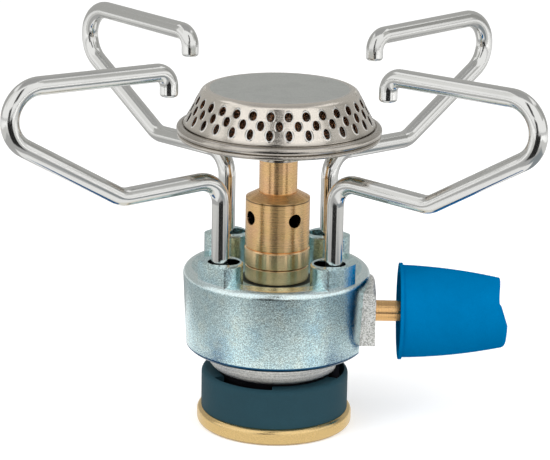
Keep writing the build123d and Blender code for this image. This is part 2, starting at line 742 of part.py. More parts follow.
def flame_holes():
    """Oval punches square to the cap's slope. The middle row is offset by half a pitch."""
    out, down = cap_cone()
    pitch = 360 / HOLE_COUNT
    punches = []
    for row, (width, height) in enumerate(zip(HOLE_WIDTHS, HOLE_HEIGHTS)):
        along = HOLE_TOP_ROW + row * HOLE_ROW_PITCH
        centre = (CAP_TOP_R + along * out, 0, CAP_TOP - along * down)
        plane = Plane(origin=centre, x_dir=(0, 1, 0), z_dir=(down, 0, out))
        punch = extrude(plane * Ellipse(width / 2, height / 2), 2 * CAP_WALL, both=True)
        start = FRONT_ANGLE + (pitch / 2 if row % 2 == 0 else 0)
        punches += [Rot(0, 0, start + index * pitch) * punch for index in range(HOLE_COUNT)]
    return punches


def burner_cap():
    return cap_shell() - flame_holes()


def burner_gauze():
    out, down = cap_cone()
    outer_shift = (CAP_WALL + GAUZE_GAP) / down
    inner_shift = outer_shift + GAUZE_T / down
    foot_z = HEM_TOP + CAP_FOOT_H
    top_z = CAP_TOP - CAP_WALL - GAUZE_TOP_GAP
    top_r = CAP_FOOT_R - (top_z - foot_z) * out / down
    return turned(
        (CAP_FOOT_R - outer_shift, HEM_FOOT),
        (CAP_FOOT_R - outer_shift, foot_z),
        (top_r - outer_shift, top_z),
        (top_r - inner_shift, top_z),
        (CAP_FOOT_R - inner_shift, foot_z),
        (CAP_FOOT_R - inner_shift, HEM_FOOT),
    )


def rod_path():
    """Centre line of a pan support in its own upright plane, with the leg on the Z axis."""
    knee_z = LIP_FOOT - KNEE_BELOW_LIP
    point_z = CAP_TOP + PAN_GAP - ROD_R
    hook_z = point_z - HOOK_SAG
    return FilletPolyline(
        (0, 0, LEG_STEP + SEAT_GAP),
        (0, 0, knee_z),
        (ELBOW_REACH, 0, knee_z - ELBOW_SAG),
        (POINT_REACH, 0, point_z),
        (HOOK_REACH, 0, hook_z),
        (HOOK_REACH, 0, hook_z - HOOK_DROP),
        radius=[KNEE_BEND, ELBOW_BEND, POINT_BEND, HOOK_BEND],
    )


def pan_support(heading):
    path = rod_path()
    section = Plane(origin=path @ 0, z_dir=path % 0) * Circle(ROD_R)
    bar = sweep(section, path)
    hook_end = (path @ 1).Z
    tip = bar.edges().filter_by(GeomType.CIRCLE).filter_by_position(Axis.Z, hook_end - NEAR, hook_end + NEAR)
    bar = fillet(tip, ROD_END_ROUND)
    journal = rod(JOURNAL_R, JOURNAL_END, LEG_STEP + SEAT_GAP)
    groove = rod(JOURNAL_R, CLIP_Z - RUN, CLIP_Z + CLIP_T + RUN)
    groove -= rod(JOURNAL_R - CLIP_GROOVE, CLIP_Z - RUN, CLIP_Z + CLIP_T + RUN)
    return Rot(0, 0, heading) * (bar + journal - groove)


def leg_clip(heading):
    clip = split_ring(JOURNAL_R - CLIP_GROOVE + SNUG, CLIP_R, CLIP_Z, CLIP_T, CLIP_SPLIT_ANGLE)
    return Rot(0, 0, heading) * clip


def stove():
    """Every piece of the stove, by name."""
    pieces = {
        "support_body": support_body(),
        "valve_housing": valve_housing(),
        "clamp_nut": clamp_nut(),
        "jet_holder": jet_holder(),
        "gas_jet": gas_jet(),
        "mixer_sleeve": mixer_sleeve(),
        "burner_tube": burner_tube(),
        "burner_pan": burner_pan(),
        "burner_cap": burner_cap(),
        "burner_gauze": burner_gauze(),
        "gland_bush": gland_bush(),
        "spindle_oring": spindle_oring(),
        "spindle": spindle(),
        "knob": knob(),
        "lock_collar": lock_collar(),
        "bayonet_ring": bayonet_ring(),
        "collar_circlip": collar_circlip(),
        "cartridge_seal": cartridge_seal(),
        "pusher_pin": pusher_pin(),
        "inlet_filter": inlet_filter(),
        "stop_pin": stop_pin(),
    }
    for (name, (_, _, heading)), place in zip(SUPPORTS.items(), leg_places()):
        pieces["pan_support_" + name] = place * pan_support(heading)
        pieces["leg_clip_" + name] = place * leg_clip(heading)
    return pieces


for name, piece in stove().items():
    export_step(piece, "parts/" + name + ".step")
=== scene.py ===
"""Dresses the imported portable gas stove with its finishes, weaves its burner gauze and sets its studio."""

from math import pi, radians

import bpy
import numpy as np
from bpy.props import FloatProperty, FloatVectorProperty, IntProperty, PointerProperty
from bpy.types import Operator, Panel, PropertyGroup
from mathutils import Euler, Matrix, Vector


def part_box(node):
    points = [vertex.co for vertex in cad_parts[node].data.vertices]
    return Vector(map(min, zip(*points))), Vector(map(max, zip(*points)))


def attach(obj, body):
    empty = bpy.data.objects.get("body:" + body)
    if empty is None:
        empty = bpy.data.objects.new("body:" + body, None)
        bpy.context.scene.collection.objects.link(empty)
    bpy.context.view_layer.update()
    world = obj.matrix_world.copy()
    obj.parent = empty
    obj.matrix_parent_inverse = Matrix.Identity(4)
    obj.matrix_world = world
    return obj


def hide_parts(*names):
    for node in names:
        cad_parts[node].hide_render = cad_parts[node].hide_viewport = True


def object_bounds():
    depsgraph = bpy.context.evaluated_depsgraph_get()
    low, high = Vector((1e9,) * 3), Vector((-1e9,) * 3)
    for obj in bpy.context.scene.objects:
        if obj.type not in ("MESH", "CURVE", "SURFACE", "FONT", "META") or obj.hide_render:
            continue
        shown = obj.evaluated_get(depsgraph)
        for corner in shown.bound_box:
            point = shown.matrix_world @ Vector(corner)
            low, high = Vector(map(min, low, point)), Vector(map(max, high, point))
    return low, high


bl_info = {
    "name": "Portable gas stove",
    "version": (1, 0, 0),
    "blender": (4, 5, 0),
    "location": "3D View > Sidebar > Stove",
    "description": "Finishes, burner gauze and studio of a portable gas stove",
    "category": "Object",
}

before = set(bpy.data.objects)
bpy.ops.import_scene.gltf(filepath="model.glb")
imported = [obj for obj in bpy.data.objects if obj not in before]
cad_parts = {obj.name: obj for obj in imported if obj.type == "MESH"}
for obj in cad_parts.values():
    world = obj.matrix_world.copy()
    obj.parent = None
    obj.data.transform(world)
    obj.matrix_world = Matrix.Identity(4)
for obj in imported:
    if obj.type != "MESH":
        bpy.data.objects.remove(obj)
cad_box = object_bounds()

# Width in metres over which a painted edge fades
FADE = 0.0002


def foot(name):
    """Height of a CAD node's lowest point."""
    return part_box(name)[0].z


def top(name):
    """Height of a CAD node's highest point."""
    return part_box(name)[1].z


def reach(name):
    """Radius of a CAD node about the upright axis."""
    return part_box(name)[1].x


def colour(name, description, default):
    """A linear colour that a user can change."""
    return FloatVectorProperty(
        name=name, description=description, subtype="COLOR", size=3, min=0.0, max=1.0, default=default
    )


def length(name, description, default):
    """A length in metres that a user can change."""
    return FloatProperty(name=name, description=description, unit="LENGTH", precision=5, default=default)


def spot(name, description, default):
    """A place in metres that a user can change."""
    return FloatVectorProperty(
        name=name, description=description, subtype="TRANSLATION", size=3, precision=5, default=default
    )


def turn(name, description, degrees):
    """An angle that a user can change, given here in degrees."""
    return FloatProperty(name=name, description=description, subtype="ANGLE", default=radians(degrees))


def power(name, description, default):
    """A lamp's power in watts that a user can change."""
    return FloatProperty(name=name, description=description, unit="POWER", default=default)


class StoveColours(PropertyGroup):
    """Linear colours of the stove's finishes."""

    zinc: colour("Zinc", "Plated casting of the body", (0.72, 0.92, 0.93))
    zinc_blue: colour("Zinc, blue patches", "Bluer bloom of the plating", (0.42, 0.68, 0.82))
    zinc_straw: colour("Zinc, straw patches", "Yellower bloom of the plating", (0.86, 0.90, 0.72))
    zinc_foot: colour("Zinc, foot line", "Deep blue line round the body's foot", (0.008, 0.085, 0.19))
    # Painted highlight: the pale colour painted as a band along the body's rounded rim.
    rim_highlight: colour("Zinc rim", "Rubbed bright edge of the body", (0.90, 1.0, 1.0))
    # Painted shade: the near-black painted into the bosses' recesses, and into the painted shadow ring round
    # the clamp nut.
    recess: colour("Recess", "Dark inside of the bosses' recesses", (0.012, 0.014, 0.016))
    casting: colour("Bare casting", "Grainy side block of the valve", (0.86, 0.86, 0.82))
    turned_alloy: colour("Turned alloy", "Bright turned spigot", (1.0, 0.99, 0.95))
    brass: colour("Brass", "Mixer sleeve and tube", (1.0, 0.645, 0.295))
    brass_pink: colour("Brass, pink patches", "Copper bloom on the brass", (1.0, 0.59, 0.37))
    brass_ring: colour("Brass rings", "Polished clamp nut and jet holder", (1.0, 0.70, 0.40))
    brass_ring_green: colour("Brass rings, green patches", "Greenish bloom on the rings", (1.0, 0.74, 0.42))
    spindle: colour("Spindle", "Drawn spindle brass", (0.95, 0.57, 0.25))
    steel: colour("Burner steel", "Drawn steel of the burner head", (0.86, 0.80, 0.72))
    steel_top: colour("Burner top", "Blasted flat of the burner cap", (0.70, 0.715, 0.69))
    gauze: colour("Gauze", "Browned wire behind the flame holes", (0.28, 0.13, 0.065))
    chrome: colour("Chrome", "Plated pan supports", (0.78, 0.78, 0.76))
    clip: colour("Clip steel", "Spring clips", (0.40, 0.40, 0.41))
    knob: colour("Knob", "Blue moulding of the knob", (0.0, 0.150, 0.37))
    collar: colour("Collar", "Dark teal moulding of the lock collar", (0.019, 0.058, 0.077))
    gold: colour("Gold ring", "Anodised ring under the collar", (0.86, 0.62, 0.29))
    rubber: colour("Rubber", "Seals", (0.012, 0.012, 0.013))
    # The peg's near-black also serves as the painted shade at the spigot's foot.
    peg: colour("Peg", "Black stop peg", (0.006, 0.006, 0.008))
    bronze: colour("Sintered bronze", "Inlet filter", (0.34, 0.22, 0.12))


class StoveTextures(PropertyGroup):
    """Real sizes of the stove's surface textures, and the places of its painted edges, painted highlight and
    painted shade.
    """

    casting_grain: length("Casting grain", "Size of the sandy speckle on the castings", 0.00032)
    zinc_bloom: length("Zinc bloom", "Size of the tinted patches of the plating", 0.0085)
    lathe_pitch: length("Lathe pitch", "Spacing of the turning marks", 0.00028)
    brass_bloom: length("Brass bloom", "Size of the tinted patches on the brass", 0.006)
    gauze_bloom: length("Gauze bloom", "Size of the heat colours on the gauze", 0.0005)
    smudge: length("Smudges", "Size of the handling marks", 0.012)
    moulding_grain: length("Moulding grain", "Size of the fine spark finish on the plastics", 0.00022)
    # Painted shade: below spigot_shade_top the spigot is painted near-black, as the shade in the lock
    # collar's slot.
    spigot_shade_top: length(
        "Spigot foot", "Height below which the spigot is blackened", top("lock_collar") + 0.0005
    )
    spigot_top: length(
        "Spigot top", "Height where the turned spigot meets the casting", foot("support_body") + 0.0003
    )
    # Painted shade: recess_top, recess_place and recess_reach bound the near-black painted into the bosses'
    # recesses.
    recess_top: length(
        "Recess top", "Height below which the bosses' recesses are dark", top("support_body") - 0.0003
    )
    recess_place: length("Recess place", "Sideways distance of a recess from the stove's axis", 0.0142)
    recess_reach: length("Recess reach", "Reach of the dark about a recess's middle", 0.0040)
    # Painted highlight: rim_low, rim_top and rim_radius bound the band painted pale along the body's rim.
    rim_low: length("Rim foot", "Height where the body's rim begins to shine", foot("clamp_nut") + 0.0015)
    rim_top: length("Rim top", "Height of the body's rim", foot("clamp_nut") + 0.0037)
    rim_radius: length("Rim radius", "Radius outside which the rim shines", reach("support_body") - 0.0026)
    pocket_floor: length("Pocket floor", "Height of the floor of the body's pocket", foot("clamp_nut"))
    pocket_radius: length("Pocket radius", "Radius of the body's pocket", reach("support_body") - 0.0054)
    # Painted shadow: a dark ring painted on the pocket floor round the clamp nut's foot.
    nut_shadow_radius: length("Nut seat", "Radius of the grimy ring round the clamp nut", reach("clamp_nut") + 0.0017)
    foot_line: length("Foot line", "Height of the line round the body's foot", foot("support_body") + 0.0012)
    ring_joint: length("Ring joint", "Height of the joint between the two brass rings", top("clamp_nut"))
    # Painted shade: inside this radius the brass is painted nearly black, as the shade in the sleeve's bore.
    sleeve_bore: length(
        "Sleeve bore", "Radius inside which the sleeve is dark", reach("mixer_sleeve") - 0.0003
    )
    # Painted shade: a thin dark line painted at this height, as the shade in the groove below the sleeve's
    # shoulder.
    sleeve_groove: length(
        "Sleeve groove", "Height of the groove below the sleeve's shoulder", top("mixer_sleeve") - 0.0021
    )


class StoveBurner(PropertyGroup):
    """Sizes of the burner cap's finish and flame holes, and of the gauze behind them."""

    hole_count: IntProperty(name="Holes in a row", description="Flame holes round the cap", default=30)
    hole_rows: IntProperty(name="Rows of holes", description="Rows of flame holes", default=3)
    cap_top: length("Cap top", "Height of the cap's flat", top("burner_cap"))
    flat_drop: length("Flat drop", "Height below the flat to which its blasting reaches", 0.0013)
    flat_radius: length("Flat radius", "Radius where the cap's flat begins to round", 0.0192)
    flat_round: length("Flat round", "Width over which the flat's blasting fades", 0.0011)
    # Painted shade: from hem_top down over hem_fade the cap is painted darker towards the bottom, over the
    # cone's concave foot and on down the hem.
    hem_top: length("Hem top", "Height where the cap begins to darken", foot("burner_cap") + 0.00375)
    hem_fade: length("Hem fade", "Height over which the cap darkens to its hem", 0.0017)
    hole_drop: length("First row", "Height from the flat down to the first row", 0.003009)
    row_drop: length("Row spacing", "Height from one row to the next", 0.002301)
    row_radius: length("Row radius", "Radius of the middle row", 0.02439)
    hole_width: length("Hole width", "Width of a flame hole", 0.0020)
    hole_height: length("Hole height", "Upright height of a flame hole", 0.0025)
    gauze_ribs: IntProperty(name="Upright wires", description="Wires that run up the gauze", default=240)
    gauze_hoops: IntProperty(name="Round wires", description="Wires that run round the gauze", default=18)
    gauze_wire: length("Gauze wire", "Radius of a gauze wire", 0.00012)
    gauze_foot: length("Gauze foot", "Height where the gauze begins to slope", 0.08945)
    gauze_foot_radius: length("Gauze foot radius", "Radius of the gauze at its foot", 0.02490)
    gauze_top_radius: length("Gauze top radius", "Radius of the gauze at its top", 0.02111)


class StoveStage(PropertyGroup):
    """Camera, lamps, floor and sky of the studio."""

    camera_place: spot("Camera", "Place of the camera", (-0.000665, -0.60993, 0.23332))
    camera_pitch: turn("Camera pitch", "How far the camera looks down", 16.124)
    camera_roll: turn("Camera roll", "How far the camera leans about its own axis", 1.085)
    camera_lens: FloatProperty(name="Lens", description="Focal length", unit="CAMERA", default=146.603)
    camera_sensor: FloatProperty(name="Sensor", description="Sensor width", unit="CAMERA", default=36.0)
    floor_size: length("Floor", "Side of the square floor", 8.0)
    floor_lift: FloatProperty(name="Floor lift", description="Floor's light for the camera", default=0.36)
    sky_level: FloatProperty(name="Sky", description="Strength of the soft light all round", default=0.72)
    lamp_aim: spot("Lamp aim", "Place that the lamps point at", (0.0, 0.0, 0.05))
    key_place: spot("Key place", "Place of the large lamp", (-0.55, -0.45, 0.75))
    key_size: length("Key size", "Side of the large lamp", 0.6)
    key_power: power("Key lamp", "Power of the large lamp", 4.8)
    fill_place: spot("Fill place", "Place of the small lamp", (0.6, -0.35, 0.45))
    fill_size: length("Fill size", "Side of the small lamp", 0.5)
    fill_power: power("Fill lamp", "Power of the small lamp", 2.8)


def fill(tree, node, inputs):
    """Fill a node's sockets with values or links."""
    for key, value in inputs.items():
        if isinstance(value, bpy.types.NodeSocket):
            tree.links.new(value, node.inputs[key])
        else:
            node.inputs[key].default_value = value


def put(tree, kind, inputs=None, **settings):
    """Add a node to a tree with its settings, and fill its sockets."""
    node = tree.nodes.new("ShaderNode" + kind)
    for name, value in settings.items():
        setattr(node, name, value)
    fill(tree, node, inputs or {})
    return node


def maths(tree, operation, first, second=0.0, third=0.0):
    """Output of one maths node."""
    return put(tree, "Math", {0: first, 1: second, 2: third}, operation=operation).outputs[0]


def vector_maths(tree, operation, first, second=(0.0, 0.0, 0.0)):
    """Outputs of one vector maths node."""
    return put(tree, "VectorMath", {0: first, 1: second}, operation=operation).outputs


def remap(tree, value, low, high, to_low=0.0, to_high=1.0):
    """A value carried smoothly from one span onto another."""
    span = {"Value": value, "From Min": low, "From Max": high, "To Min": to_low, "To Max": to_high}
    return put(tree, "MapRange", span, interpolation_type="SMOOTHSTEP").outputs["Result"]


def between(tree, mask, low, high):
    """A value that runs from low to high as a mask runs from 0 to 1."""
    return remap(tree, mask, 0.0, 1.0, low, high)


def above(tree, value, edge, fade=FADE):
    """Mask that rises from 0 at an edge to 1 just past it."""
    return remap(tree, value, edge, edge + fade)


def below(tree, value, edge, fade=FADE):
    """Mask that rises from 0 at an edge to 1 just short of it."""
    return remap(tree, value, edge, edge - fade)


def overlap(tree, first, *others):
    """Mask of the places where several masks meet."""
    for mask in others:
        first = maths(tree, "MULTIPLY", first, mask)
    return first


def opaque(tone):
    """A colour as a socket takes it: a link stays as it is, and a plain colour gets an alpha of 1."""
    return tone if isinstance(tone, bpy.types.NodeSocket) else (*tone, 1.0)


def tint(tree, mask, first, second, strength=1.0):
    """First colour where the mask is 0, and second, as far as the strength says, where it is 1."""
    if strength < 1.0:
        mask = maths(tree, "MULTIPLY", mask, strength)
    colours = {0: mask, 6: opaque(first), 7: opaque(second)}
    return put(tree, "Mix", colours, data_type="RGBA").outputs[2]


def shade(tree, base, value):
    """A colour made darker or lighter by a value."""
    colours = {0: 1.0, 6: opaque(base), 7: value}
    return put(tree, "Mix", colours, data_type="RGBA", blend_type="MULTIPLY").outputs[2]


def vary(tree, base, mask, low, high):
    """A colour made darker or lighter by a value that runs from low to high with a mask."""
    return shade(tree, base, between(tree, mask, low, high))


def start_group(name, inputs, outputs):
    """New node group with named sockets: the tree, its inputs and a function that fills an output."""
    tree = bpy.data.node_groups.new(name, "ShaderNodeTree")
    for socket, kind in inputs.items():
        tree.interface.new_socket(socket, in_out="INPUT", socket_type="NodeSocket" + kind)
    for socket in outputs:
        tree.interface.new_socket(socket, in_out="OUTPUT", socket_type="NodeSocketFloat")
    given = tree.nodes.new("NodeGroupInput").outputs
    result = tree.nodes.new("NodeGroupOutput").inputs
    return tree, given, lambda socket, value: tree.links.new(value, result[socket])


def casting_grain_group():
    """Sandy skin of a casting: fine noise is the speckle, and coarser noise joins it for the height."""
    sockets = {"Place": "Vector", "Size": "Float"}
    tree, given, give = start_group("Casting grain", sockets, ("Speckle", "Height"))
    scale = maths(tree, "DIVIDE", 1.0, given["Size"])
    sand = {"Vector": given["Place"], "Scale": scale, "Detail": 2.0, "Roughness": 0.7}
    fine = put(tree, "TexNoise", sand).outputs["Fac"]
    lump_share = 0.3
    lumps = {"Vector": given["Place"], "Scale": maths(tree, "MULTIPLY", scale, lump_share), "Detail": 2.0}
    broad = put(tree, "TexNoise", lumps).outputs["Fac"]
    give("Speckle", remap(tree, fine, 0.3, 0.7))
    give("Height", maths(tree, "ADD", fine, broad))
    return tree


def lathe_lines_group():
    """Turning marks: noise of one variable, the place along the turning axis counted in pitches."""
    tree, given, give = start_group("Lathe lines", {"Along": "Float", "Pitch": "Float"}, ("Lines",))
    pitches = maths(tree, "DIVIDE", given["Along"], given["Pitch"])
    marks = {"W": pitches, "Scale": 1.0, "Detail": 4.0, "Roughness": 0.75}
    noise = put(tree, "TexNoise", marks, noise_dimensions="1D").outputs["Fac"]
    give("Lines", remap(tree, noise, 0.25, 0.75))
    return tree


def soft_patches_group():
    """Cloudy mask: noise that is cut smoothly at the height which leaves the given cover."""
    sockets = {"Place": "Vector", "Size": "Float", "Seed": "Float", "Cover": "Float"}
    tree, given, give = start_group("Soft patches", sockets, ("Mask",))
    scale = maths(tree, "DIVIDE", 1.0, given["Size"])
    cloud = {"Vector": given["Place"], "W": given["Seed"], "Scale": scale, "Detail": 4.0, "Roughness": 0.6}
    noise = put(tree, "TexNoise", cloud, noise_dimensions="4D").outputs["Fac"]
    cut = maths(tree, "SUBTRACT", 1.0, given["Cover"])
    softness = 0.16
    low = maths(tree, "SUBTRACT", cut, softness)
    high = maths(tree, "ADD", cut, softness)
    give("Mask", remap(tree, noise, low, high))
    return tree


GROUPS = {
    "Casting grain": casting_grain_group,
    "Lathe lines": lathe_lines_group,
    "Soft patches": soft_patches_group,
}


def effect(tree, name, **inputs):
    """Outputs of a shared effect, placed in a material with its own values."""
    node = tree.nodes.new("ShaderNodeGroup")
    node.node_tree = bpy.data.node_groups.get(name) or GROUPS[name]()
    fill(tree, node, inputs)
    return node.outputs


def patches(tree, place, size, seed, cover):
    """Mask of soft patches."""
    return effect(tree, "Soft patches", Place=place, Size=size, Seed=seed, Cover=cover)["Mask"]


def lathe_lines(tree, way, textures):
    """Mask of the turning marks along one coordinate."""
    return effect(tree, "Lathe lines", Along=way, Pitch=textures.lathe_pitch)["Lines"]


def start_material(name, **sockets):
    """New material with a Principled shader: the material, its tree, the shader and the place on it."""
    material = bpy.data.materials.new(name)
    material.use_nodes = True
    tree = material.node_tree
    tree.nodes.clear()
    shader = put(tree, "BsdfPrincipled", {key.replace("_", " "): value for key, value in sockets.items()})
    put(tree, "OutputMaterial", {"Surface": shader.outputs[0]})
    return material, tree, shader, put(tree, "TexCoord").outputs["Object"]


def paint(tree, shader, base, roughness, height=None, depth=0.0):
    """Link a material's changing colour, roughness and relief to its shader."""
    tree.links.new(base, shader.inputs["Base Color"])
    tree.links.new(roughness, shader.inputs["Roughness"])
    if height is not None:
        relief = put(tree, "Bump", {"Height": height, "Distance": depth})
        tree.links.new(relief.outputs["Normal"], shader.inputs["Normal"])


def along(tree, place, axis):
    """One coordinate of the place on the stove."""
    return put(tree, "SeparateXYZ", {0: place}).outputs[axis]


def off_axis(tree, place):
    """Sideways distance of a place from the upright axis."""
    flat = vector_maths(tree, "MULTIPLY", place, (1.0, 1.0, 0.0))[0]
    return vector_maths(tree, "LENGTH", flat)["Value"]


def zinc_casting(colours, textures):
    """Plated casting: blue and straw bloom under a sandy speckle, with a dark foot line, a painted highlight
    on the rim, a dull pocket, a painted shadow ring round the nut and painted shade in the recesses."""
    material, tree, shader, place = start_material("zinc_casting", Metallic=1.0)
    height = along(tree, place, "Z")
    width = off_axis(tree, place)
    blue = patches(tree, place, textures.zinc_bloom, seed=1.7, cover=0.42)
    straw = patches(tree, place, textures.zinc_bloom * 0.6, seed=6.2, cover=0.36)
    grain = effect(tree, "Casting grain", Place=place, Size=textures.casting_grain)
    base = tint(tree, blue, colours.zinc, colours.zinc_blue, strength=0.6)
    base = tint(tree, straw, base, colours.zinc_straw, strength=0.45)
    base = vary(tree, base, grain["Speckle"], low=0.60, high=1.16)
    base = tint(tree, below(tree, height, textures.foot_line), base, colours.zinc_foot)
    # Painted highlight: a pale band painted along the body's rounded rim, where its edge catches the studio
    # light.
    rim = overlap(
        tree,
        above(tree, height, textures.rim_low, fade=3 * FADE),
        below(tree, height, textures.rim_top),
        above(tree, width, textures.rim_radius, fade=2 * FADE),
    )
    base = tint(tree, rim, base, colours.rim_highlight, strength=0.6)
    on_floor = below(tree, height, textures.pocket_floor + 2 * FADE)
    pocket = overlap(tree, below(tree, width, textures.pocket_radius), on_floor)
    # Painted shadow: a dark ring on the pocket floor round the clamp nut's foot, in the recess colour.
    seat = overlap(tree, pocket, below(tree, width, textures.nut_shadow_radius, fade=4 * FADE))
    base = tint(tree, seat, base, colours.recess, strength=0.9)
    # Painted shade: the inside of each boss's recess is painted near-black.
    middle = (textures.recess_place, textures.recess_place, 0.0)
    corner = vector_maths(tree, "SUBTRACT", vector_maths(tree, "ABSOLUTE", place)[0], middle)[0]
    inside = below(tree, off_axis(tree, corner), textures.recess_reach)
    recess = overlap(tree, inside, below(tree, height, textures.recess_top))
    base = tint(tree, recess, base, colours.recess)
    dullness = between(tree, pocket, low=0.0, high=0.45)
    rough = maths(tree, "ADD", between(tree, blue, low=0.14, high=0.20), dullness)
    paint(tree, shader, base, rough, grain["Height"], depth=0.00004)
    return material


def bare_alloy(colours, textures):
    """Valve housing: grainy casting above, and a bright turned spigot below it, with painted shade at its
    foot.
    """
    material, tree, shader, place = start_material("bare_alloy", Metallic=0.85)
    height = along(tree, place, "Z")
    cast = above(tree, height, textures.spigot_top, fade=FADE / 2)
    grain = effect(tree, "Casting grain", Place=place, Size=textures.casting_grain * 1.25)
    lines = lathe_lines(tree, height, textures)
    rough_skin = vary(tree, colours.casting, grain["Speckle"], low=0.55, high=1.3)
    turned_skin = vary(tree, colours.turned_alloy, lines, low=0.72, high=1.06)
    turned_skin = vary(tree, turned_skin, grain["Speckle"], low=0.78, high=1.1)
    base = tint(tree, cast, turned_skin, rough_skin)
    # Painted shade: below the collar's top the spigot takes the peg's near-black, as the shade inside the
    # collar's slot.
    base = tint(tree, below(tree, height, textures.spigot_shade_top), base, colours.peg)
    relief = put(tree, "Mix", {0: cast, 2: lines, 3: grain["Height"]}, data_type="FLOAT").outputs[0]
    paint(tree, shader, base, between(tree, cast, low=0.28, high=0.5), relief, depth=0.00008)
    return material


def turned_brass(name, tone, bloom_tone, textures, axis, polish, roughness, spread):
    """Turned brass: its grooves spread reflections along the axis, with fine lathe lines and soft bloom.
    Polish runs from 0 to 1 and takes the lines away. Upright pieces have painted shade in a groove below the
    sleeve's shoulder, a dark joint between the rings and painted shade in the bore."""
    material, tree, shader, place = start_material(
        name, Metallic=1.0, Anisotropic=spread, Anisotropic_Rotation=0.25
    )
    grooves = put(tree, "Tangent", direction_type="RADIAL", axis=axis)
    tree.links.new(grooves.outputs[0], shader.inputs["Tangent"])
    way = along(tree, place, axis)
    lines = lathe_lines(tree, way, textures)
    bloom = patches(tree, place, textures.brass_bloom, seed=3.1, cover=0.48)
    base = tint(tree, bloom, tone, bloom_tone, strength=0.55)
    base = vary(tree, base, lines, low=0.82 + 0.16 * polish, high=1.06)
    if axis == "Z":
        # Painted shade in the groove below the sleeve's shoulder; the same dark line marks the joint between
        # the rings.
        groove_core, groove_edge, groove_shade = 0.00012, 0.00028, 0.25
        for groove in (textures.sleeve_groove, textures.ring_joint):
            offset = maths(tree, "ABSOLUTE", maths(tree, "SUBTRACT", way, groove))
            base = shade(tree, base, remap(tree, offset, groove_core, groove_edge, groove_shade, 1.0))
        # Painted shade: inside the sleeve's bore the brass is painted nearly black.
        inside = below(tree, off_axis(tree, place), textures.sleeve_bore)
        bore = overlap(tree, inside, below(tree, way, textures.sleeve_groove))
        base = vary(tree, base, bore, low=1.0, high=0.06)
    paint(tree, shader, base, between(tree, lines, roughness, roughness + 0.09 * (1 - polish)))
    return material


def hole_rims_and_highlights(tree, place, burner):
    """Mask of the pressed rims, for their relief and for a painted highlight: 1 just outside each flame
    hole's ellipse, found by folding the heading and the height into one hole's cell, with every second row
    shifted by half a cell."""
    axes = put(tree, "SeparateXYZ", {0: place}).outputs
    heading = maths(tree, "ARCTAN2", axes["Y"], axes["X"])
    drop = maths(tree, "SUBTRACT", burner.cap_top - burner.hole_drop, axes["Z"])
    row = maths(tree, "ROUND", maths(tree, "DIVIDE", drop, burner.row_drop))
    row = maths(tree, "MINIMUM", maths(tree, "MAXIMUM", row, 0.0), burner.hole_rows - 1.0)
    shift = maths(tree, "MULTIPLY_ADD", maths(tree, "MODULO", row, 2.0), -0.5, 0.5)
    cells = maths(tree, "MULTIPLY_ADD", heading, burner.hole_count / (2 * pi), shift)
    across = maths(tree, "SUBTRACT", maths(tree, "FRACT", cells), 0.5)
    cell_width = 2 * pi * burner.row_radius / burner.hole_count
    wide = maths(tree, "MULTIPLY", across, cell_width / (burner.hole_width / 2))
    tall = maths(tree, "MULTIPLY_ADD", row, -burner.row_drop, drop)
    tall = maths(tree, "DIVIDE", tall, burner.hole_height / 2)
    squares = [maths(tree, "POWER", value, 2.0) for value in (wide, tall)]
    ellipse = maths(tree, "SQRT", maths(tree, "ADD", *squares))
    rim_edge, rim_crest = 1.42, 1.12
    return remap(tree, ellipse, rim_edge, rim_crest)


def burner_steel(colours, textures, burner):
    """Drawn steel: satin sides, pressed hole rims with a painted highlight, painted shade on the cone's foot
    that goes on darker down the hem, a blasted flat top and faint smudges.
    """
    material, tree, shader, place = start_material("burner_steel", Metallic=1.0)
    height = along(tree, place, "Z")
    high = above(tree, height, burner.cap_top - burner.flat_drop, fade=2 * FADE)
    flat = below(tree, off_axis(tree, place), burner.flat_radius + burner.flat_round, fade=burner.flat_round)
    blasted = overlap(tree, high, flat)
    hem = below(tree, height, burner.hem_top, fade=burner.hem_fade)
    rims = hole_rims_and_highlights(tree, place, burner)
    smudge = patches(tree, place, textures.smudge * 0.5, seed=2.4, cover=0.45)
    grain = effect(tree, "Casting grain", Place=place, Size=textures.casting_grain * 0.8)
    lines = lathe_lines(tree, height, textures)
    base = tint(tree, blasted, colours.steel, colours.steel_top)
    base = vary(tree, base, smudge, low=1.02, high=0.97)
    base = vary(tree, base, grain["Speckle"], low=0.93, high=1.05)
    # Painted highlight: the rims round the flame holes are tinted towards the chrome colour; their relief is
    # real bump.
    base = tint(tree, rims, base, colours.chrome, strength=0.85)
    # Painted shade: darker towards the bottom, over the cone's concave foot and on down the hem.
    base = vary(tree, base, hem, low=1.0, high=0.66)
    dullness = between(tree, smudge, low=0.0, high=0.06)
    rough = maths(tree, "ADD", between(tree, blasted, low=0.15, high=0.52), dullness)
    line_share, sand_share = 0.05, 0.3
    drawn = maths(tree, "ADD", rims, maths(tree, "MULTIPLY", lines, line_share))
    sandy = maths(tree, "MULTIPLY", grain["Height"], sand_share)
    relief = put(tree, "Mix", {0: blasted, 2: drawn, 3: sandy}, data_type="FLOAT").outputs[0]
    paint(tree, shader, base, rough, relief, depth=0.00016)
    return material


def gauze_wire(colours, textures):
    """Browned wire: darker and lighter heat colours in small patches."""
    material, tree, shader, place = start_material("gauze_wire", Metallic=0.9)
    heat = patches(tree, place, textures.gauze_bloom, seed=4.0, cover=0.45)
    base = vary(tree, colours.gauze, heat, low=0.1, high=2.4)
    paint(tree, shader, base, between(tree, heat, low=0.45, high=0.28))
    return material


def polished_plate(name, tone, textures, clean, handled):
    """Bright plating: its roughness rises a little, from clean to handled, in soft smudges."""
    material, tree, shader, place = start_material(name, Metallic=1.0)
    smudge = patches(tree, place, textures.smudge, seed=5.5, cover=0.4)
    base = vary(tree, tone, smudge, low=1.0, high=0.95)
    paint(tree, shader, base, between(tree, smudge, clean, handled), smudge, depth=0.000004)
    return material


